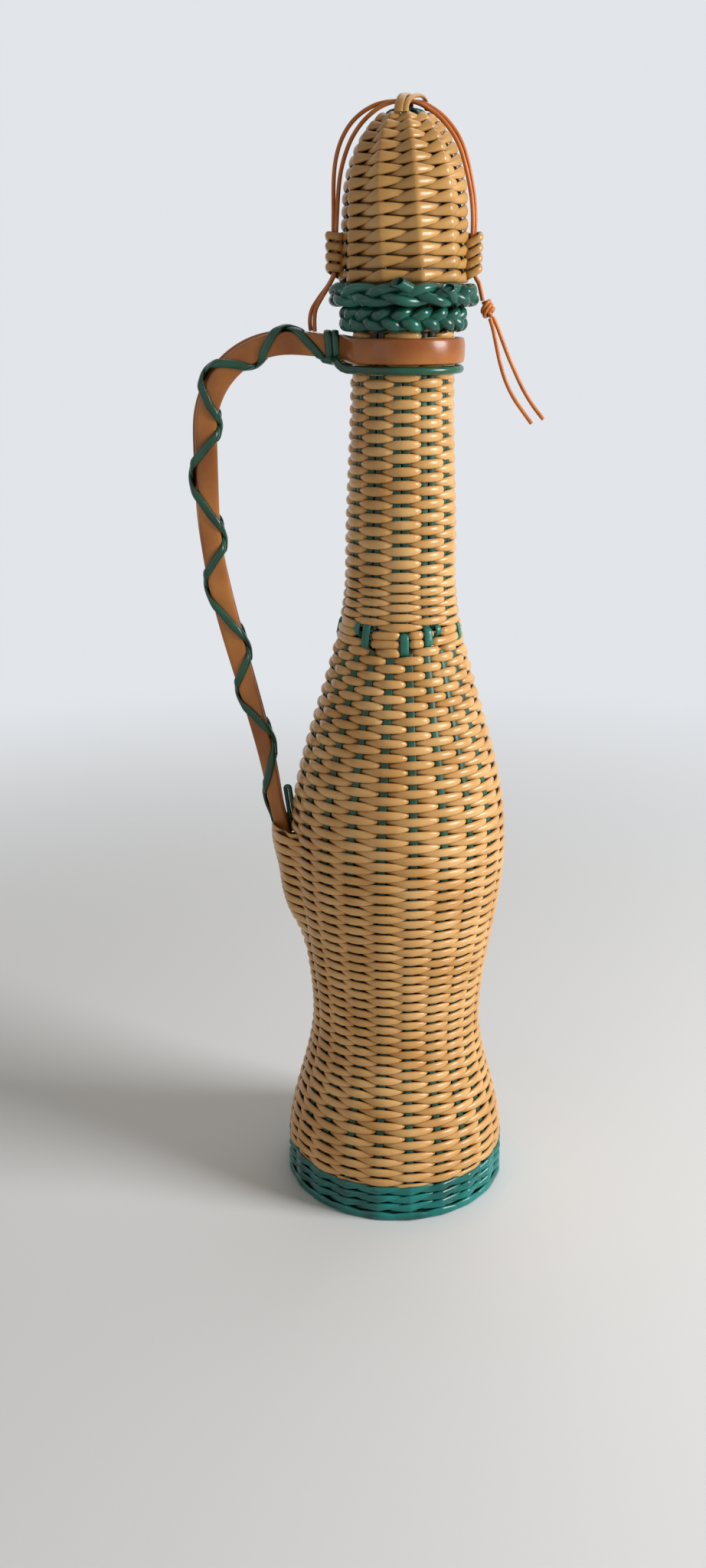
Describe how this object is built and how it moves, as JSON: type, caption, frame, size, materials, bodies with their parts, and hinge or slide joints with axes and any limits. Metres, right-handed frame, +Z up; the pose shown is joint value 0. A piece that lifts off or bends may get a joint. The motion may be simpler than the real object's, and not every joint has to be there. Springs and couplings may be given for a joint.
{
  "type": "chianti fiasco bottle",
  "caption": "Tall waisted bottle in a woven tube jacket, with a strap handle laced with cords, and a domed woven stopper tied on by a cord.",
  "frame": {"origin": "centre of the foot on the table, on the bottle's axis", "axes": "+Z up along the bottle's axis, handle towards -X, pictured side towards -Y"},
  "size_m": [0.1334, 0.0926, 0.4242],
  "materials": {
    "glass": "clear",
    "honey_tube": "glossy",
    "green_tube": "glossy",
    "teal_tube": "glossy",
    "strap": "satin",
    "orange_cord": "glossy",
    "cork": "matte"
  },
  "bodies": {
    "bottle": {"glass_bottle": "glass", "base_mat": "teal_tube", "foot_band": "teal_tube", "body_stakes": "green_tube", "body_weave": "honey_tube", "neck_stakes": "green_tube", "neck_weave": "honey_tube", "collar_plait": "green_tube", "neck_ring_cord": "green_tube", "strap_handle": "strap", "strap_binding": "green_tube", "handle_lace_under": "green_tube", "handle_lace_over": "green_tube", "foot_tie": "green_tube", "tether": "orange_cord"},
    "stopper": {"cork": "cork", "cap_stakes": "green_tube", "cap_weave": "honey_tube", "cap_crown": "green_tube", "top_loops": "honey_tube", "side_loop_left": "honey_tube", "side_loop_right": "honey_tube", "rim_plait": "green_tube", "rim_tube_ends": "green_tube", "tie_cord": "orange_cord", "tie_knot": "orange_cord", "tie_tail_front": "orange_cord", "tie_tail_back": "orange_cord"}
  },
  "joints": [
    {"name": "stopper_lift", "type": "slide", "parent": "bottle", "child": "stopper", "axis": [0, 0, 1], "range_m": [0, 0.016], "deforming": ["tether"]}
  ]
}
